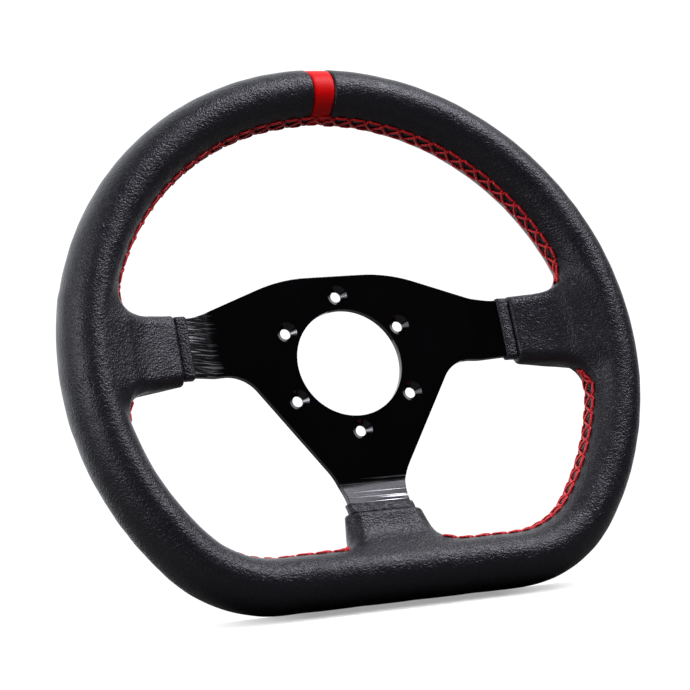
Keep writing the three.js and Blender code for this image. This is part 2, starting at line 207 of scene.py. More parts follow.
def rim_coordinates(x, z):
    """Distance along the centreline from the top, and out of it, for places (x, z)."""
    side, x = np.where(x < 0, -1, 1), np.abs(x)
    angle = np.arctan2(x, z - RIM_CENTRE_Z)
    corner_angle = np.arctan2(x - CORNER_CENTRE_X, z - CORNER_CENTRE_Z)
    on_arc = angle <= CORNER_ANGLE
    on_flat = ~on_arc & (x < CORNER_CENTRE_X)
    corner_along = ARC_LENGTH + CORNER_RADIUS * (corner_angle - CORNER_ANGLE)
    flat_along = ARC_LENGTH + CORNER_LENGTH + CORNER_CENTRE_X - x
    corner_out = np.hypot(x - CORNER_CENTRE_X, z - CORNER_CENTRE_Z) - CORNER_RADIUS
    arc_out = np.hypot(x, z - RIM_CENTRE_Z) - RIM_RADIUS
    along = np.select([on_arc, on_flat], [RIM_RADIUS * angle, flat_along], corner_along)
    out = np.select([on_arc, on_flat], [arc_out, FLAT_Z - z], corner_out)
    return side * along, out


def section_point(along, angle, inset=0):
    """A point of the rim's oval skin, or this far inside it. Angles in degrees, as above."""
    x, z, out_x, out_z = rim_station(along)
    out = (GRIP_HALF_WIDTH - inset) * np.cos(np.radians(angle))
    y = RIM_PLANE_Y - (GRIP_HALF_DEPTH - inset) * np.sin(np.radians(angle))
    return np.stack([x + out * out_x, y + 0 * x, z + out * out_z], axis=-1)


# ---------------------------------------------------------------- spoke directions


def lean(x):
    """How far a side spoke's outer part sits from its true height."""
    return -SPOKE_LEAN * np.sign(x) * np.clip((np.abs(x) - 40) / 50, 0, 1)


# Each spoke's lengthwise u and crosswise v, from a place (x, z) and back.
SPOKES = {
    "left": {
        "plate": SIDE_SPOKE, "boot": SIDE_BOOT,
        "read": lambda x, z: (-x, z - lean(x)), "place": lambda u, y, v: (-u, y, v + lean(-u)),
    },
    "right": {
        "plate": SIDE_SPOKE, "boot": SIDE_BOOT,
        "read": lambda x, z: (x, z - lean(x)), "place": lambda u, y, v: (u, y, v + lean(u)),
    },
    "lower": {
        "plate": LOWER_SPOKE, "boot": LOWER_BOOT,
        "read": lambda x, z: (-z, x), "place": lambda u, y, v: (v, y, -u),
    },
}


def plate_middle(u, spoke):
    """Where the middle of the bent sheet lies along Y at a distance from the wheel's centre."""
    angle = math.radians(spoke["bend_angle"])
    radius = BEND_RADIUS + PLATE_THICKNESS / 2
    half_run = SPOKE_RISE / math.tan(angle) / 2
    half_bend = half_run + radius * math.tan(angle / 2)
    from_middle = np.asarray(u, dtype=float) - (spoke["bend_start"] + half_run)
    reach = np.minimum(np.abs(from_middle), half_bend)
    into_arc = np.minimum((half_bend - reach) / radius, math.sin(angle))
    arc = SPOKE_RISE / 2 - radius * (1 - np.sqrt(1 - into_arc**2))
    on_slope = half_bend - reach > radius * math.sin(angle)
    rise = np.where(on_slope, reach * math.tan(angle), arc)
    return -PLATE_THICKNESS / 2 - SPOKE_RISE / 2 - np.sign(from_middle) * rise


# ---------------------------------------------------------------- the grip's shape as a distance


def oval_distance(out, depth):
    """Distance from the rim's oval section, close to the true one near its skin."""
    along_radius = np.maximum(np.hypot(out / GRIP_HALF_WIDTH, depth / GRIP_HALF_DEPTH), 1e-3)
    slope = np.maximum(np.hypot(out / GRIP_HALF_WIDTH**2, depth / GRIP_HALF_DEPTH**2), 1e-4)
    return along_radius * (along_radius - 1) / slope


def blend(first, second, width):
    """The smaller of two distances, with a fillet about this wide where they meet."""
    share = np.clip(0.5 + 0.5 * (second - first) / width, 0, 1)
    return second + (first - second) * share - width * share * (1 - share)


def boot_distance(u, y, v, boot):
    """Distance from one padded spoke root, a rounded box that swells towards the rim."""
    progress = np.clip((u - boot["start"]) / (boot["root"] - boot["start"]), 0, 1)
    low = boot["low"] + (boot["root_low"] - boot["low"]) * progress
    high = boot["high"] + (boot["root_high"] - boot["high"]) * progress
    front = boot["front"] + (boot["root_front"] - boot["front"]) * progress ** boot["swell"]
    back = BOOT_BACK + (BOOT_ROOT_BACK - BOOT_BACK) * progress
    corner = boot["corner"]
    across = np.abs(v - (low + high) / 2) - (high - low) / 2 + corner
    through = np.abs(y - (front + back) / 2) - (back - front) / 2 + corner
    outside = np.hypot(np.maximum(across, 0), np.maximum(through, 0))
    side = outside + np.minimum(np.maximum(across, through), 0) - corner
    ends = np.maximum(boot["start"] - u, u - boot["root"] - BOOT_PAST_ROOT)
    return -blend(-side, -ends, BOOT_END_ROUNDING)


def unevenness(x, y, z):
    """A slow swell and dip of the hand-laid leather, between -1 and 1."""
    across = np.sin(0.21 * x + 1.3 * np.sin(0.13 * z + 0.4))
    first = across * np.sin(0.19 * z + 0.9 * np.sin(0.17 * x))
    second = np.sin(0.43 * x + 0.31 * y + 2) * np.sin(0.37 * z - 0.29 * y + 1)
    return 0.6 * first + 0.4 * second


def seam_valley(along, out, depth):
    """How deep, from 0 to 1, the leather dips where its two laced edges meet."""
    angle = np.degrees(np.arctan2(-depth / GRIP_HALF_DEPTH, out / GRIP_HALF_WIDTH)) % 360
    laced = (np.abs(along) < UPPER_LACING_END) | (np.abs(along) > LOWER_LACING_START)
    return np.exp(-(((angle - SEAM_ANGLE) / SEAM_HALF_WIDTH) ** 2)) * laced


def cover_distance(points):
    """Distance from the outside of the padded grip, in mm, negative inside it."""
    x, y, z = points[..., 0], points[..., 1], points[..., 2]
    along, out = rim_coordinates(x, z)
    depth = y - RIM_PLANE_Y
    distance = oval_distance(out, depth)
    for spoke in SPOKES.values():
        boot = spoke["boot"]
        u, v = spoke["read"](x, z)
        share = np.clip((v - boot["low"]) / (boot["high"] - boot["low"]), 0, 1)
        width = boot["fillets"][0] + (boot["fillets"][1] - boot["fillets"][0]) * share
        most = boot["front_fillet"]
        widening = np.interp(y, FILLET_DEPTHS, [FILLET_AT_FRONT, most, most, FILLET_AT_BACK])
        distance = blend(distance, boot_distance(u, y, v, boot), width * widening)
    distance = distance + SEAM_DEPTH * seam_valley(along, out, depth)
    return distance + UNEVENNESS * unevenness(x, y, z)


def project(points, level, rounds=3):
    """Moves points straight onto the surface that lies this far outside the grip's skin."""
    nudge = 0.05
    for _ in range(rounds):
        value = cover_distance(points) - level
        steps = [cover_distance(points + nudge * unit) - level - value for unit in np.eye(3)]
        slope = np.stack(steps, axis=-1) / nudge
        size = np.maximum((slope**2).sum(axis=-1), 0.05)
        points = points - slope * (value / size)[..., None]
    return points


# ---------------------------------------------------------------- skins round a sampled distance


def along_axis(axis, part, others=(slice(None), slice(None))):
    """An index that takes a part along one axis and these parts along the next two."""
    index = [None, None, None]
    index[axis], index[(axis + 1) % 3], index[(axis + 2) % 3] = part, *others
    return tuple(index)


def surface_net(samples, corner, cell):
    """Quads round every place where the samples change sign, one vertex in each cell crossed."""
    cells = tuple(n - 1 for n in samples.shape)
    total, hits, crossings = np.zeros((*cells, 3)), np.zeros(cells), []
    for axis in range(3):
        low = samples[along_axis(axis, slice(None, -1))]
        high = samples[along_axis(axis, slice(1, None))]
        crossed = (low < 0) != (high < 0)
        share = np.where(crossed, low / np.where(crossed, low - high, 1), 0)
        crossings.append((crossed, low < 0))
        for first in (0, 1):
            for second in (0, 1):
                ends = [slice(first, first + cells[(axis + 1) % 3]),
                        slice(second, second + cells[(axis + 2) % 3])]
                window = along_axis(axis, slice(None), ends)
                total[..., axis] += share[window]
                total[..., (axis + 1) % 3] += first * crossed[window]
                total[..., (axis + 2) % 3] += second * crossed[window]
                hits += crossed[window]
    used = hits > 0
    number = np.full(cells, -1)
    number[used] = np.arange(used.sum())
    points = corner + cell * (np.argwhere(used) + total[used] / hits[used][:, None])
    faces = []
    for axis, (crossed, starts_inside) in enumerate(crossings):
        places = np.argwhere(crossed)
        one, other = np.eye(3, dtype=int)[[(axis + 1) % 3, (axis + 2) % 3]]
        ring = (places - one - other, places - other, places, places - one)
        quads = np.stack([number[tuple(place.T)] for place in ring], axis=1)
        inwards = ~starts_inside[tuple(places.T)]
        quads[inwards] = quads[inwards][:, ::-1]
        faces.append(quads)
    return points, np.concatenate(faces)


def relaxed(points, quads, rounds):
    """Evens out a skin by moving each vertex towards the middle of its neighbours."""
    starts, ends = quads.ravel(), np.roll(quads, -1, axis=1).ravel()
    count = np.bincount(starts, minlength=len(points))[:, None] * 2
    for _ in range(rounds):
        total = np.zeros_like(points)
        np.add.at(total, starts, points[ends])
        np.add.at(total, ends, points[starts])
        points = 0.5 * points + 0.5 * total / count
    return points


def grip_skin(inset, cell):
    """The skin that lies this far inside the grip's outside, as points and quads."""
    low = np.array([-153.5, -36, -126]) + cell * 0.37
    high = np.array([153.5, 4.5, 153])
    counts = np.ceil((high - low) / cell).astype(int)
    axes = [low[n] + cell * np.arange(counts[n]) for n in range(3)]
    grid = np.stack(np.meshgrid(*axes, indexing="ij"), axis=-1)
    points, quads = surface_net(cover_distance(grid) + inset, low, cell)
    points = project(points, -inset)
    return project(relaxed(points, quads, 4), -inset), quads


# ---------------------------------------------------------------- the leather cover


def marker_edges(clearance):
    """Where the marker starts and ends along the rim, with this much to spare."""
    half = MARKER_WIDTH / 2 + clearance
    return MARKER_OFFSET - half, MARKER_OFFSET + half


def marker_plane(along):
    """The plane across the rim at a distance from the top: a point in metres and its normal."""
    x, z, out_x, out_z = rim_station(along)
    return Vector((float(x) * MM, 0, float(z) * MM)), Vector((float(out_z), 0, -float(out_x)))


def cut_marker_room(mesh):
    """Cuts the cover away where the marker lies, with softly turned-in edges."""
    top = ABOVE_SPOKES_Z * MM
    left, right = marker_edges(GAP)
    for along in (left - MARKER_ROOM_BEVEL, left, right, right + MARKER_ROOM_BEVEL):
        point, normal = marker_plane(along)
        near = [v for v in mesh.verts if v.co.z > top]
        near += [e for e in mesh.edges if min(v.co.z for v in e.verts) > top]
        near += [f for f in mesh.faces if min(v.co.z for v in f.verts) > top]
        bmesh.ops.bisect_plane(mesh, geom=near, plane_co=point, plane_no=normal, dist=1e-7)
    between = []
    for face in mesh.faces:
        middle = face.calc_center_median() / MM
        if middle.z < ABOVE_SPOKES_Z:
            continue
        along = float(rim_coordinates(np.array(middle.x), np.array(middle.z))[0])
        if left < along < right:
            between.append(face)
    bmesh.ops.delete(mesh, geom=between, context="FACES")
    rim_edges = [edge for edge in mesh.edges if edge.is_boundary]
    rim_verts = {vert for edge in rim_edges for vert in edge.verts}
    mesh.normal_update()
    shift = {vert: vert.normal * (-MARKER_ROOM_TURN_IN * MM) for vert in rim_verts}
    for vert, move in shift.items():
        vert.co += move
    for sign in (-1, 1):
        loops = [e for e in rim_edges if sign * (e.verts[0].co.x - MARKER_OFFSET * MM) > 0]
        bmesh.ops.bridge_loops(mesh, edges=loops)


def leather_cover():
    """The cover with its spoke boots: an outer skin and the lining one leather thickness in."""
    outer, outer_quads = grip_skin(0, COVER_CELL)
    inner, inner_quads = grip_skin(LEATHER_THICKNESS, LINING_CELL)
    points = np.concatenate([outer, inner])
    quads = np.concatenate([outer_quads, inner_quads[:, ::-1] + len(outer)])
    cover = mesh_object("grip_cover", points, quads.tolist())
    mesh = bmesh.new()
    mesh.from_mesh(cover.data)
    cut_marker_room(mesh)
    for face in mesh.faces:
        face.smooth = True
    mesh.to_mesh(cover.data)
    mesh.free()
    return cover


def centre_marker():
    """The red band, a little below the leather beside it, with rounded edges."""
    left, right = marker_edges(0)
    edge = [(0.35, 1.3), (0, 0.9), (0.15, 0.35), (0.6, 0)]
    middle = [(MARKER_WIDTH * part, 0) for part in (0.2, 0.35, 0.5, 0.65, 0.8)]
    far_edge = [(MARKER_WIDTH - reach, inset) for reach, inset in reversed(edge)]
    profile = [*edge, *middle, *far_edge]
    angles = np.arange(SECTION_SIDES) * 360 / SECTION_SIDES
    rows = [section_point(np.full(SECTION_SIDES, left + reach), angles, MARKER_INSET + inset)
            for reach, inset in profile]
    marker = mesh_object("grip_marker", *loft(rows))
    face_outwards(marker)
    return marker


# ---------------------------------------------------------------- collars


def rounded_box_outline(half_width, half_height, radius, steps):
    """Points round a rectangle with rounded corners, as (across, through) pairs."""
    points = []
    for corner, (side, end) in enumerate(((1, 1), (-1, 1), (-1, -1), (1, -1))):
        for step in range(steps + 1):
            turn = (corner + step / steps) * math.pi / 2
            points.append((side * (half_width - radius) + radius * math.cos(turn),
                           end * (half_height - radius) + radius * math.sin(turn)))
    return subdivided(points, COLLAR_POINT_SPACING)


def subdivided(points, longest):
    """The closed outline again, with its long sides divided."""
    divided = []
    for start, end in zip(points, points[1:] + points[:1]):
        parts = max(1, round(math.dist(start, end) / longest))
        divided += [(start[0] + (end[0] - start[0]) * k / parts,
                     start[1] + (end[1] - start[1]) * k / parts) for k in range(parts)]
    return divided


def collar(name, spoke, tilt, crumple):
    """A strip of leather wrapped round a spoke where it enters the cover."""
    plate = spoke["plate"]
    half_width = (plate["high"] - plate["low"]) / 2 + GAP
    half_height = PLATE_THICKNESS / 2 + GAP
    middle = (plate["high"] + plate["low"]) / 2
    start, end = plate["collar_start"], plate["collar_end"]
    length = end - start
    steps = [0.02, 0.07, 0.16, 0.28, 0.4, 0.5, 0.6, 0.72, 0.84, 0.93, 0.98]
    rounding = [0.5, 0.85, 1, 1, 1, 0.97, 1, 1, 1, 0.97, 0.85]
    profile = [(0.02, 0.02), *zip(steps, rounding), (0.98, 0.02), (0.5, 0.02)]
    outline = rounded_box_outline(half_width, half_height, COLLAR_CORNER_RADIUS, 4)
    rows = []
    for part, height in profile:
        row = []
        for across, through in outline:
            away = Vector((across / half_width, through / half_height * 1.4))
            away.normalize()
            fold = crumple * math.sin(0.9 * across + 4 * part) * math.sin(2.1 * across + 1.7)
            thickness = COLLAR_THICKNESS * height + fold * height
            u = start + length * part + tilt * across / half_width * min(1, 2 - 2 * part)
            y = float(plate_middle(u, plate)) + through + away.y * thickness
            row.append(spoke["place"](u, y, middle + across + away.x * thickness))
        rows.append(row)
    made = mesh_object(name, *loft(np.array(rows)))
    face_outwards(made)
    return made


# ---------------------------------------------------------------- lacing


def lacing_spread(along):
    """How far apart the two rows of holes are, closing up where the lacing meets a boot."""
    run = np.abs(along)
    upper_taper, lower_taper, closest = 16, 10, 0.4
    above = (UPPER_LACING_END - run) / upper_taper
    below = (run - LOWER_LACING_START) / lower_taper
    on_upper = run < (UPPER_LACING_END + LOWER_LACING_START) / 2
    return np.clip(np.where(on_upper, above, below), closest, 1)


def seam_drift(along):
    """How many degrees the seam wanders to the back round the lower left of the wheel."""
    first, last = 236, 384
    onset = np.clip((-along - first) / 12, 0, 1)
    return LOWER_LEFT_DRIFT * onset * np.clip((last + along) / 16, 0, 1)


def strand(from_along, to_along, from_angle, to_angle, extra):
    """The middle line of one thread: up out of a hole, over the leather and down into the next."""
    part = np.linspace(0, 1, STRAND_POINTS)
    along = from_along + (to_along - from_along) * part
    angle = from_angle + (to_angle - from_angle) * part
    angle = SEAM_ANGLE + (angle - SEAM_ANGLE) * lacing_spread(along) + seam_drift(along)
    dive = np.abs(2 * part - 1) ** 9
    left, right = marker_edges(0)
    over_marker = (along > left) & (along < right)
    lift = THREAD_RADIUS * 0.7 + extra * np.sin(math.pi * part) ** 2 - THREAD_DIVE * dive
    lift = lift - MARKER_INSET * over_marker
    return section_point(along, angle), lift


def thread_tubes(strands):
    """Tubes along many strands at once, as points and faces."""
    middles = np.array([middle for middle, _ in strands])
    lifts = np.array([lift for _, lift in strands])
    on_skin = project(middles, 0)
    outer = project(on_skin, 1.0, rounds=2)
    normal = outer - on_skin
    normal /= np.linalg.norm(normal, axis=-1, keepdims=True)
    line = on_skin + normal * lifts[..., None]
    ahead = np.gradient(line, axis=1)
    ahead /= np.linalg.norm(ahead, axis=-1, keepdims=True)
    across = np.cross(ahead, normal)
    across /= np.linalg.norm(across, axis=-1, keepdims=True)
    up = np.cross(across, ahead)
    points, faces = [], []
    turns = np.arange(THREAD_SIDES) * 2 * math.pi / THREAD_SIDES
    for one in range(len(strands)):
        rows = [line[one] + THREAD_RADIUS * (math.cos(turn) * across[one]
                                             + THREAD_FLATTENING * math.sin(turn) * up[one])
                for turn in turns]
        rows = np.transpose(np.array(rows), (1, 0, 2))
        tube_points, tube_faces = loft(rows, closed_rows=False)
        start = sum(len(p) for p in points)
        last = start + len(tube_points) - THREAD_SIDES
        faces += [tuple(start + k for k in face) for face in tube_faces]
        faces.append(tuple(range(start + THREAD_SIDES - 1, start - 1, -1)))
        faces.append(tuple(range(last, last + THREAD_SIDES)))
        points.append(tube_points)
    return np.concatenate(points), faces


def lacing(name, first, last, pitch, origin):
    """Cross-stitches from one distance along the rim to another."""
    hole, reach = 0.16 * pitch, 0.66 * pitch
    strands = []
    count = int((last - first) / pitch)
    for k in range(count + 1):
        middle = origin + pitch * k
        for side, extra in ((1, 0.1), (-1, 0.55)):
            strands.append(strand(middle - side * reach, middle + side * hole,
                                  LACING_BACK_ANGLE, LACING_FRONT_ANGLE, extra))
        for angle, shift in ((LACING_FRONT_ANGLE, 0), (LACING_BACK_ANGLE, -pitch / 2)):
            start = middle + shift + hole
            strands.append(strand(start, start + pitch - 2 * hole, angle, angle, 0.05))
    made = mesh_object(name, *thread_tubes(strands))
    face_outwards(made)
    return made


# ---------------------------------------------------------------- spoke plate


def rounded_outline(corners, arc_step=math.radians(3)):
    """The points of a polygon whose corners, (x, z, radius), are rounded by arcs."""
    points = []
    for k, (x, z, radius) in enumerate(corners):
        corner = Vector((x, z))
        before = (Vector(corners[k - 1][:2]) - corner).normalized()
        after = (Vector(corners[(k + 1) % len(corners)][:2]) - corner).normalized()
        half_angle = before.angle(after) / 2
        middle = (before + after).normalized()
        centre = corner + middle * radius / math.sin(half_angle)
        start = corner + before * radius / math.tan(half_angle) - centre
        end = corner + after * radius / math.tan(half_angle) - centre
        turn = start.angle_signed(end)
        steps = max(1, math.ceil(abs(turn) / arc_step))
        for step in range(steps + 1):
            point = start.copy()
            point.rotate(Matrix.Rotation(-turn * step / steps, 2))
            points.append(centre + point)
    return points


def plate_outline():
    right_half = [
        (28.9, 45.4, 80),
        (81.5, 26, 22),
        (SIDE_SPOKE["end"], SIDE_SPOKE["tip"], TIP_CORNER_RADIUS),
        (SIDE_SPOKE["end"], SIDE_SPOKE["low"], TIP_CORNER_RADIUS),
        (84, SIDE_SPOKE["low"], 60),
        (56, -2.3, 18),
        (LOWER_SPOKE["high"], -62.4, 34),
        (LOWER_SPOKE["high"], -LOWER_SPOKE["end"], TIP_CORNER_RADIUS),
    ]
    left_half = [(-x, z, radius) for x, z, radius in reversed(right_half)]
    return rounded_outline(right_half + left_half)


def circle(radius, sides):
    turns = [2 * math.pi * k / sides for k in range(sides)]
    return [(radius * math.cos(turn), radius * math.sin(turn)) for turn in turns]


def flat_sheet(edge_rounding):
    """The blank with its centre hole, edges slightly rounded, as a mesh lying in x and y."""
    curve = bpy.data.curves.new("plate_blank", "CURVE")
    curve.dimensions = "2D"
    curve.fill_mode = "BOTH"
    curve.extrude = PLATE_THICKNESS / 2 - edge_rounding
    curve.bevel_depth = edge_rounding
    curve.bevel_resolution = 2
    curve.offset = -edge_rounding
    for outline in (plate_outline(), circle(CENTRE_HOLE_RADIUS, 2 * HOLE_SIDES)):
        spline = curve.splines.new("POLY")
        spline.points.add(len(outline) - 1)
        for point, place in zip(spline.points, outline):
            point.co = (place[0], place[1], 0, 1)
        spline.use_cyclic_u = True
    blank = bpy.data.objects.new("plate_blank", curve)
    bpy.context.scene.collection.objects.link(blank)
    mesh = bpy.data.meshes.new_from_object(blank)
    bpy.data.objects.remove(blank)
    return mesh


def press(mesh):
    """Divides the blank across its bends and presses each spoke towards the driver."""
    bends = [(Vector((1, 0, 0)), SIDE_SPOKE), (Vector((-1, 0, 0)), SIDE_SPOKE),
             (Vector((0, -1, 0)), LOWER_SPOKE)]
    for direction, spoke in bends:
        run = SPOKE_RISE / math.tan(math.radians(spoke["bend_angle"]))
        strips = run + 2 * BEND_STRIP_MARGIN
        for k in range(BEND_STRIPS + 1):
            u = spoke["bend_start"] - BEND_STRIP_MARGIN + strips * k / BEND_STRIPS
            geometry = [*mesh.verts, *mesh.edges, *mesh.faces]
            bmesh.ops.bisect_plane(mesh, geom=geometry, dist=1e-5, plane_co=direction * u,
                                   plane_no=direction)
    nudge = 0.01
    for vert in mesh.verts:
        x, z, through = vert.co
        spoke, u = (LOWER_SPOKE, -z) if z < -50 else (SIDE_SPOKE, abs(x))
        middle = float(plate_middle(u, spoke))
        slope = (float(plate_middle(u + nudge, spoke)) - middle) / nudge
        stretch = math.hypot(1, slope)
        shift = through * slope / stretch
        if spoke is SIDE_SPOKE:
            vert.co = (x - math.copysign(shift, x), middle + through / stretch, z + float(lean(x)))
        else:
            vert.co = (x, middle + through / stretch, z + shift)


def hole_cutter(radius, front_radius):
    """A cutter along Y through the sheet, opening at 90 degrees to a countersink if wider."""
    depth = front_radius - radius
    front = -PLATE_THICKNESS
    profile = [(radius, 3), (radius, front + depth), (front_radius + 1, front - 1)]
    if depth == 0:
        profile = [(radius, 3), (radius, -14)]
    rows = [[(x, y, z) for x, z in circle(reach, HOLE_SIDES)] for reach, y in profile]
    points, faces = loft(np.array(rows, dtype=float), closed_rows=False)
    faces.append(tuple(range(HOLE_SIDES)))
    faces.append(tuple(range(len(points) - 1, len(points) - HOLE_SIDES - 1, -1)))
    return points, faces


def hole_places():
    """Every screw and rivet hole, as (x, z, radius, front radius)."""
    places = []
    for k in range(BOLT_COUNT):
        turn = 2 * math.pi * k / BOLT_COUNT
        places.append((BOLT_CIRCLE_RADIUS * math.sin(turn), BOLT_CIRCLE_RADIUS * math.cos(turn),
                       BOLT_HOLE_RADIUS, COUNTERSINK_RADIUS))
    for spoke in SPOKES.values():
        plate = spoke["plate"]
        for side in (-1, 1):
            v = (plate["low"] + plate["high"]) / 2 + side * RIVET_HALF_SPACING
            x, _, z = spoke["place"](plate["end"] - RIVET_FROM_END, 0, v)
            places.append((x, z, RIVET_HOLE_RADIUS, RIVET_HOLE_RADIUS))
    return places


def plate_cutters():
    points, faces = [], []
    for x, z, radius, front_radius in hole_places():
        hole_points, hole_faces = hole_cutter(radius, front_radius)
        start = sum(len(p) for p in points)
        points.append(hole_points + np.array([x, 0, z]))
        faces += [tuple(start + k for k in face) for face in hole_faces]
    cutters = mesh_object("plate_cutters", np.concatenate(points), faces)
    face_outwards(cutters)
    return cutters


def spoke_plate():
    sheet = flat_sheet(PLATE_EDGE_ROUNDING)
    mesh = bmesh.new()
    mesh.from_mesh(sheet)
    bmesh.ops.remove_doubles(mesh, verts=mesh.verts, dist=1e-4)
    press(mesh)
    bmesh.ops.scale(mesh, vec=(MM, MM, MM), verts=mesh.verts)
    bmesh.ops.recalc_face_normals(mesh, faces=mesh.faces)
    mesh.to_mesh(sheet)
    mesh.free()
    plate = add_object("dished_plate", sheet)
    cutters = plate_cutters()
    cut = plate.modifiers.new("holes", "BOOLEAN")
    cut.operation = "DIFFERENCE"
    cut.solver = "EXACT"
    cut.object = cutters
    bpy.context.view_layer.update()
    finished = bpy.data.meshes.new_from_object(
        plate.evaluated_get(bpy.context.evaluated_depsgraph_get())
    )
    plate.modifiers.remove(cut)
    plate.data = finished
    bpy.data.objects.remove(cutters)
    finished.polygons.foreach_set("use_smooth", [True] * len(finished.polygons))
    finished.set_sharp_from_angle(angle=math.radians(35))
    weighted = plate.modifiers.new("weighted_normals", "WEIGHTED_NORMAL")
    weighted.keep_sharp = True
    return plate


# ---------------------------------------------------------------- materials


class Nodes:
    """A material's node tree, with short ways to add and join nodes."""

    def __init__(self, name):
        self.material = bpy.data.materials.new(name)
        self.material.use_nodes = True
        self.tree = self.material.node_tree
        self.shader = self.tree.nodes["Principled BSDF"]

    def add(self, kind, settings=None, **inputs):
        """A node with settings, and inputs given as values or as outputs to join."""
        node = self.tree.nodes.new(kind)
        for key, value in (settings or {}).items():
            setattr(node, key, value)
        for key, value in inputs.items():
            self.put(node, key.replace("_", " "), value)
        return node

    def put(self, node, key, value):
        """Sets or joins one input, named by its label or its place in the list."""
        socket = node.inputs[int(key[1:]) if key[0] == "n" and key[1:].isdigit() else key]
        if isinstance(value, bpy.types.NodeSocket):
            self.tree.links.new(value, socket)
        else:
            socket.default_value = value

    def place(self, stretch=(1, 1, 1)):
        """Object coordinates, stretched: texture scales then count per metre."""
        coordinates = self.add("ShaderNodeTexCoord").outputs["Object"]
        return self.add("ShaderNodeMapping", Vector=coordinates, Scale=stretch).outputs["Vector"]

    def noise(self, place, scale, detail=3.0, distortion=0.0):
        node = self.add("ShaderNodeTexNoise", Vector=place, Scale=scale, Detail=detail,
                        Distortion=distortion)
        return node.outputs["Fac"]

    def math(self, operation, first, second=0.0, clamp=False):
        settings = {"operation": operation, "use_clamp": clamp}
        return self.add("ShaderNodeMath", settings, n0=first, n1=second).outputs[0]

    def spread(self, value, low, high, new_low=0.0, new_high=1.0):
        node = self.add("ShaderNodeMapRange", Value=value, n1=low, n2=high, n3=new_low, n4=new_high)
        return node.outputs["Result"]

    def mix(self, share, first, second):
        """A colour between two, each given as (r, g, b)."""
        ramp = self.add("ShaderNodeValToRGB", Fac=share)
        ramp.color_ramp.elements[0].color = (*first, 1)
        ramp.color_ramp.elements[1].color = (*second, 1)
        return ramp.outputs["Color"]

    def bump(self, height, depth):
        return self.add("ShaderNodeBump", Height=height, Distance=depth).outputs["Normal"]

    def finish(self, **inputs):
        for key, value in inputs.items():
            self.put(self.shader, key.replace("_", " "), value)
        return self.material


def leather(name, dark, light, grain_depth, roughness, specular=0.5):
    """Leather with pebbles parted by creases, which longer wrinkles cross here and there."""
    nodes = Nodes(name)
    place = nodes.place()
    warp = nodes.add("ShaderNodeTexNoise", Vector=place, Scale=260, Detail=2).outputs["Color"]
    bend = nodes.add("ShaderNodeVectorMath", {"operation": "MULTIPLY_ADD"}, n0=warp,
                     n1=(0.002, 0.002, 0.002), n2=place).outputs[0]
    pebbles = nodes.add("ShaderNodeTexVoronoi", {"feature": "DISTANCE_TO_EDGE"},
                        Vector=bend, Scale=660).outputs["Distance"]
    creased = nodes.spread(pebbles, 0, 0.35)
    waves = nodes.noise(nodes.place((0.8, 1, 1.5)), 350, 1, 0.6)
    ridges = nodes.spread(nodes.math("ABSOLUTE", nodes.math("SUBTRACT", waves, 0.5)), 0, 0.16)
    height = nodes.math("ADD", nodes.math("MULTIPLY", creased, 0.5),
                        nodes.math("MULTIPLY", ridges, 0.5))
    patches = nodes.noise(place, 30, 4)
    tone = nodes.math("MULTIPLY", nodes.math("ADD", patches, ridges), 0.5)
    wear = nodes.spread(nodes.noise(place, 55, 3), 0.35, 0.65, *roughness)
    return nodes.finish(
        Base_Color=nodes.mix(tone, dark, light),
        Roughness=wear,
        Specular_IOR_Level=specular,
        Normal=nodes.bump(height, grain_depth * MM),
    )


def anodised_plate():
    """Black anodised sheet, glossy and finely brushed, with bright streaks of painted highlight
    over the left bend and the lower bend.
    """
    nodes = Nodes("black_anodised_brushed")
    fine = nodes.noise(nodes.place((0.02, 0.1, 1)), 2600, 3)
    haze = nodes.noise(nodes.place(), 35, 4)
    streaks = nodes.spread(nodes.noise(nodes.place((0.02, 0.1, 1)), 1400, 1), 0.54, 0.66)
    highlight_share = painted_highlight_mask(nodes)
    # painted highlight: bright grey metal laid into the brushed streaks, standing for light caught
    # in the bends
    streak_highlight = nodes.math("MULTIPLY", streaks, highlight_share)
    black_coat = nodes.mix(haze, (0.001, 0.001, 0.0012), (0.0018, 0.0018, 0.0022))
    colour = nodes.add("ShaderNodeMix", {"data_type": "RGBA"}, n0=streak_highlight, n6=black_coat,
                       n7=(0.62, 0.62, 0.63, 1)).outputs[2]
    return nodes.finish(
        Base_Color=colour,
        Metallic=streak_highlight,
        Roughness=nodes.math("ADD", nodes.spread(haze, 0.3, 0.7, 0.08, 0.13),
                             nodes.math("MULTIPLY", highlight_share, 0.25)),
        Specular_IOR_Level=nodes.spread(highlight_share, 0, 1, 0.6, 0.16),
        Anisotropic=0.5,
        Normal=nodes.bump(fine, 0.008 * MM),
    )


def painted_highlight_mask(nodes):
    """Share of painted highlight: 0 on the flat sheet, rising over the left bend and the lower
    bend, more towards the right of the lower bend.
    """
    parts = nodes.add("ShaderNodeSeparateXYZ", Vector=nodes.place()).outputs
    ragged = nodes.math("MULTIPLY", nodes.noise(nodes.place((0.1, 0.1, 1)), 800, 1), 6 * MM)
    across = nodes.math("ADD", nodes.math("ABSOLUTE", parts["X"]), ragged)
    # painted highlight on the left bend only; the right bend stays black
    side = nodes.math("MULTIPLY", nodes.spread(across, 70 * MM, 84 * MM),
                      nodes.spread(parts["X"], 0.0, -10 * MM, 0.0, 0.7))
    down = nodes.math("ADD", nodes.math("MULTIPLY", parts["Z"], -1.0), ragged)
    # painted highlight on the lower bend, brighter towards its right side
    lower = nodes.math("MULTIPLY", nodes.spread(down, 62 * MM, 76 * MM),
                       nodes.spread(parts["X"], -16 * MM, 14 * MM, 0.3, 1.3))
    return nodes.math("ADD", side, lower, clamp=True)


def red_leather():
    """The marker's smooth red leather, with a faint grain."""
    return leather("marker_red", (0.7, 0.0, 0.0), (0.85, 0.0, 0.001), grain_depth=0.03,
                   roughness=(0.42, 0.5), specular=0.2)


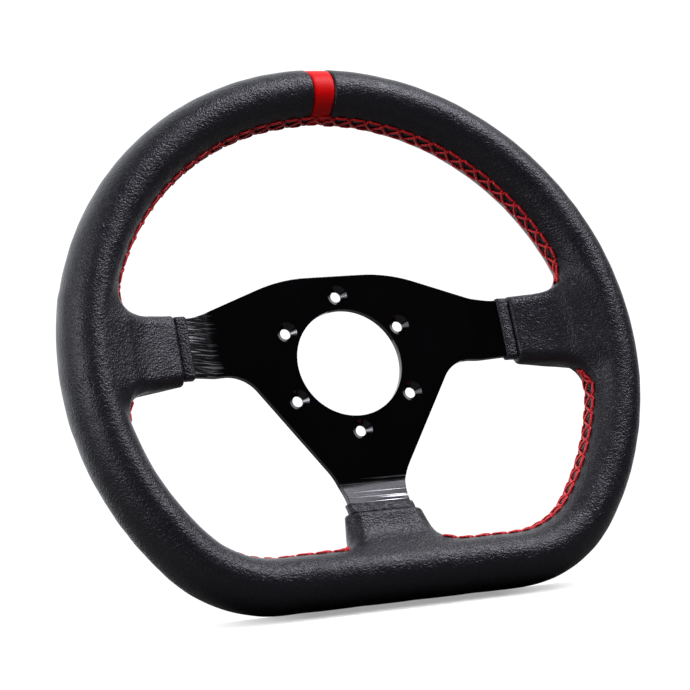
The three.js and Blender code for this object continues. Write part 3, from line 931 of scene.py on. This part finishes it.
def red_thread():
    """Waxed red thread, laid up from twisted strands."""
    nodes = Nodes("lacing_red")
    twist = nodes.noise(nodes.place(), 1500, 2, 0.6)
    shade = nodes.noise(nodes.place(), 300, 2)
    return nodes.finish(
        Base_Color=nodes.mix(shade, (0.6, 0.006, 0.01), (0.85, 0.015, 0.02)),
        Roughness=nodes.spread(twist, 0.3, 0.7, 0.38, 0.55),
        Normal=nodes.bump(twist, 0.15 * MM),
    )


def steel():
    """Mild steel with a thin dark mill scale, as the hoop and its tabs have."""
    nodes = Nodes("hoop_mild_steel")
    scale = nodes.noise(nodes.place(), 90, 5)
    drawn = nodes.noise(nodes.place((1, 1, 0.1)), 900, 3)
    return nodes.finish(
        Base_Color=nodes.mix(scale, (0.11, 0.105, 0.1), (0.3, 0.29, 0.28)),
        Metallic=1.0,
        Roughness=nodes.spread(scale, 0.3, 0.7, 0.35, 0.6),
        Normal=nodes.bump(drawn, 0.03 * MM),
    )


def rivet_alloy():
    """Bright aluminium rivets with fine handling marks."""
    nodes = Nodes("rivet_aluminium")
    marks = nodes.noise(nodes.place(), 700, 4)
    return nodes.finish(
        Base_Color=nodes.mix(marks, (0.58, 0.58, 0.59), (0.8, 0.8, 0.81)),
        Metallic=1.0,
        Roughness=nodes.spread(marks, 0.3, 0.7, 0.22, 0.4),
        Normal=nodes.bump(marks, 0.02 * MM),
    )


def grip_foam():
    """Moulded polyurethane foam: a dark skin pitted by small cells."""
    nodes = Nodes("moulded_foam")
    cells = nodes.add("ShaderNodeTexVoronoi", Vector=nodes.place(), Scale=1400).outputs["Distance"]
    patches = nodes.noise(nodes.place(), 60, 3)
    return nodes.finish(
        Base_Color=nodes.mix(patches, (0.018, 0.018, 0.018), (0.04, 0.04, 0.04)),
        Roughness=nodes.spread(cells, 0, 1, 0.8, 0.95),
        Normal=nodes.bump(cells, 0.25 * MM),
    )


# ---------------------------------------------------------------- floor, lights and camera


def studio_floor():
    """A pale sheet that falls away in front of the leaning wheel and runs level behind it."""
    tilt = math.radians(22)
    reach = math.hypot(GRIP_HALF_DEPTH * math.sin(tilt), GRIP_HALF_WIDTH * math.cos(tilt))
    contact_y = RIM_PLANE_Y + GRIP_HALF_DEPTH**2 * math.sin(tilt) / reach
    contact_z = FLAT_Z - GRIP_HALF_WIDTH**2 * math.cos(tilt) / reach - 0.3
    width, front, behind = 1600, 1100, 1500
    rows = [(contact_y - front * math.cos(tilt), contact_z - front * math.sin(tilt)),
            (contact_y, contact_z), (contact_y + behind, contact_z)]
    points = [(x, y, z) for y, z in rows for x in (-width, width)]
    floor = mesh_object("studio_floor", points, [(0, 1, 3, 2), (2, 3, 5, 4)])
    nodes = Nodes("pale_floor")
    grain = nodes.noise(nodes.place(), 40, 3)
    nodes.finish(
        Base_Color=nodes.mix(grain, (0.86, 0.86, 0.86), (0.9, 0.9, 0.9)),
        Roughness=0.9,
        Specular_IOR_Level=0.1,
    )
    hide_from_bounces(nodes, shadow_share(nodes, contact_y))
    floor.data.materials.append(nodes.material)
    return floor


def shadow_share(nodes, contact_y):
    """1 on the floor just under the wheel, fading to 0 where no shadow is wanted."""
    parts = nodes.add("ShaderNodeSeparateXYZ", Vector=nodes.place()).outputs
    sideways = nodes.math("ABSOLUTE", parts["X"])
    in_front = nodes.math("ABSOLUTE", nodes.math("SUBTRACT", parts["Y"], contact_y * MM))
    near = nodes.spread(sideways, 50 * MM, 125 * MM, 0.7, 0.0)
    return nodes.math("MULTIPLY", near, nodes.spread(in_front, 8 * MM, 90 * MM, 1.0, 0.0))


def hide_from_bounces(nodes, shaded):
    """Lets the floor look white, shadowed by this share, and throw little light at the wheel."""
    white = nodes.add("ShaderNodeEmission", Strength=1.1)
    seen = nodes.add("ShaderNodeMixShader", n0=shaded, n1=white.outputs[0],
                     n2=nodes.shader.outputs[0])
    dark = nodes.add("ShaderNodeBsdfDiffuse", Color=(0.05, 0.05, 0.05, 1))
    direct = nodes.add("ShaderNodeLightPath").outputs["Is Camera Ray"]
    choice = nodes.add("ShaderNodeMixShader", n0=direct, n1=dark.outputs[0],
                       n2=seen.outputs[0])
    nodes.tree.links.new(choice.outputs[0], nodes.tree.nodes["Material Output"].inputs[0])


def studio_world():
    """White behind everything. The light it gives is dim in front and bright above and behind."""
    world = bpy.data.worlds.new("studio")
    world.use_nodes = True
    bpy.context.scene.world = world
    tree = world.node_tree
    tree.nodes.clear()
    add, join = tree.nodes.new, tree.links.new
    place = add("ShaderNodeTexCoord")
    lift = add("ShaderNodeVectorMath")
    lift.operation = "DOT_PRODUCT"
    lift.inputs[1].default_value = (0, 0.85, 0.5)
    join(place.outputs["Generated"], lift.inputs[0])
    height = add("ShaderNodeMapRange")
    join(lift.outputs["Value"], height.inputs["Value"])
    for socket, value in ((1, 0.25), (2, 0.92), (3, 0.01), (4, 1.5)):
        height.inputs[socket].default_value = value
    soft = add("ShaderNodeBackground")
    soft.inputs["Color"].default_value = (0.93, 0.96, 1, 1)
    join(height.outputs["Result"], soft.inputs["Strength"])
    white = add("ShaderNodeBackground")
    white.inputs["Color"].default_value = (1, 1, 1, 1)
    white.inputs["Strength"].default_value = 1.1
    direct = add("ShaderNodeLightPath")
    choice = add("ShaderNodeMixShader")
    join(direct.outputs["Is Camera Ray"], choice.inputs[0])
    join(soft.outputs[0], choice.inputs[1])
    join(white.outputs[0], choice.inputs[2])
    join(choice.outputs[0], add("ShaderNodeOutputWorld").inputs[0])


def softbox(name, place, size, radiance, tint=(1, 1, 1), target=(0, -15, 10)):
    """A rectangular area light at a place in mm, of a size in mm, aimed at the wheel."""
    light = bpy.data.lights.new(name, "AREA")
    light.shape = "RECTANGLE"
    light.size, light.size_y = size[0] * MM, size[1] * MM
    light.energy = radiance * math.pi * light.size * light.size_y
    light.color = tint
    lamp = bpy.data.objects.new(name, light)
    bpy.context.scene.collection.objects.link(lamp)
    lamp.location = Vector(place) * MM
    aim = Vector(place) - Vector(target)
    lamp.rotation_euler = aim.to_track_quat("Z", "Y").to_euler()
    return lamp


def studio_lights(floor):
    cool = (0.91, 0.9, 1)
    softbox("left_box", (-900, -420, 300), (700, 800), 2.1, cool)
    softbox("right_box", (700, -600, 620), (400, 400), 10, cool)
    softbox("upper_front", (330, -430, 760), (360, 280), 13, cool)
    softbox("left_strip", (-840, -330, 250), (80, 300), 12, cool)
    fill = softbox("matt_fill", (-100, -900, 700), (800, 500), 2.6)
    fill.visible_glossy = False
    above_floor = softbox("floor_light", (40, 150, 950), (1500, 2000), 6)
    receivers = bpy.data.collections.new("lit_by_floor_light")
    receivers.objects.link(floor)
    above_floor.light_linking.receiver_collection = receivers


def camera():
    """The view from the driver's left and below, rolled a little."""
    azimuth, elevation, roll = (math.radians(a) for a in (-23.697, -15.638, -10.84))
    target = Vector((0.6, 0, 10))
    distance = 1166.67
    back = Vector((math.sin(azimuth) * math.cos(elevation),
                   -math.cos(azimuth) * math.cos(elevation), math.sin(elevation)))
    right = (-back).cross(Vector((0, 0, 1))).normalized()
    up = right.cross(-back)
    rolled_right = right * math.cos(roll) + up * math.sin(roll)
    rolled_up = up * math.cos(roll) - right * math.sin(roll)
    lens = bpy.data.cameras.new("camera")
    lens.lens = 122.1
    lens.sensor_width = 36
    lens.clip_start, lens.clip_end = 0.01, 20
    eye = bpy.data.objects.new("camera", lens)
    bpy.context.scene.collection.objects.link(eye)
    turn = Matrix((rolled_right, rolled_up, back)).transposed().to_4x4()
    eye.matrix_world = Matrix.Translation((target + back * distance) * MM) @ turn
    bpy.context.scene.camera = eye


# ---------------------------------------------------------------- assembly


def dress(piece, material, slot, *nodes):
    """Gives a piece its material and its place in the frame, standing for these CAD nodes."""
    piece.data.materials.clear()
    piece.data.materials.append(material)
    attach(piece, "root")
    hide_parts(*nodes)


def dress_carried_nodes():
    """Procedural finishes for the CAD nodes inside the grip, which keep their shape."""
    finishes = (("rim_hoop", steel()), ("hoop_tab", steel()), ("rivet", rivet_alloy()),
                ("foam_grip", grip_foam()))
    for name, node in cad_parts.items():
        for start, material in finishes:
            if name.startswith(start):
                node.data.materials.clear()
                node.data.materials.append(material)


camera()
studio_world()
studio_lights(studio_floor())
bpy.context.scene.view_settings.view_transform = "Standard"

BLACK_HIDE = ((0.008, 0.0076, 0.0105), (0.013, 0.0122, 0.017))
black = leather("grip_black", *BLACK_HIDE, grain_depth=0.19, roughness=(0.36, 0.42))
collar_black = leather("collar_black", *BLACK_HIDE, grain_depth=0.26, roughness=(0.38, 0.46))
thread = red_thread()

cover = leather_cover()
dress(cover, black, "black_leather", "leather_cover")
dress(centre_marker(), red_leather(), "red_leather", "centre_marker")
dress(spoke_plate(), anodised_plate(), "anodised_plate", "spoke_plate")
for side, (tilt, crumple) in {"left": (0, 0.05), "right": (0, 0.05), "lower": (0.8, 0.3)}.items():
    dress(collar(f"wrap_{side}", SPOKES[side], tilt, crumple), collar_black, "collar_leather",
          f"collar_{side}")
dress(lacing("lacing_upper", -UPPER_LACING_END, UPPER_LACING_END, LACING_PITCH,
             UPPER_LACING_ORIGIN), thread, "red_thread", "stitching_upper")
for side, origin in (("right", LOWER_LACING_START), ("left", -LOWER_LACING_END)):
    dress(lacing(f"lacing_lower_{side}", LOWER_LACING_START, LOWER_LACING_END, LOWER_LACING_PITCH,
                 origin), thread, "red_thread", f"stitching_lower_{side}")
dress_carried_nodes()

bpy.context.view_layer.update()
